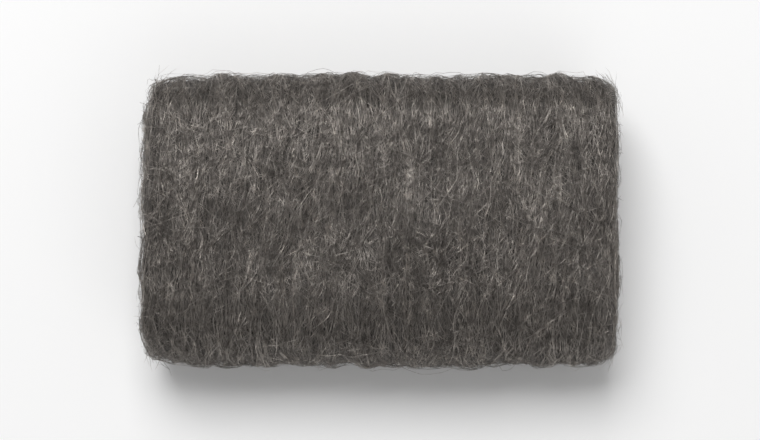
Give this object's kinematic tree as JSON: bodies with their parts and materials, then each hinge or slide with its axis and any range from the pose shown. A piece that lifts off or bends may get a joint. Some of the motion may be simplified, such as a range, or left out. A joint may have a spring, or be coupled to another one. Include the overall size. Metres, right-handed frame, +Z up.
{
  "type": "steel wool pad",
  "caption": "Soft hand pad of fine steel wool for rubbing down, waxing and polishing: one strip rolled up flat, with rounded folds front and back and open ends.",
  "frame": {"origin": "middle of the base, on the surface that the pad lies on", "axes": "+X along the pad's long side, from one open end of the roll to the other; +Y from the front fold to the back fold; +Z up, through the roll's layers"},
  "size_m": [0.0862, 0.0536, 0.0259],
  "materials": {
    "steel_wool": "fine grey steel fibres, mostly along the strip, dull with small glints"
  },
  "bodies": {
    "root": {"steel_wool_pad": "steel_wool"}
  },
  "joints": []
}
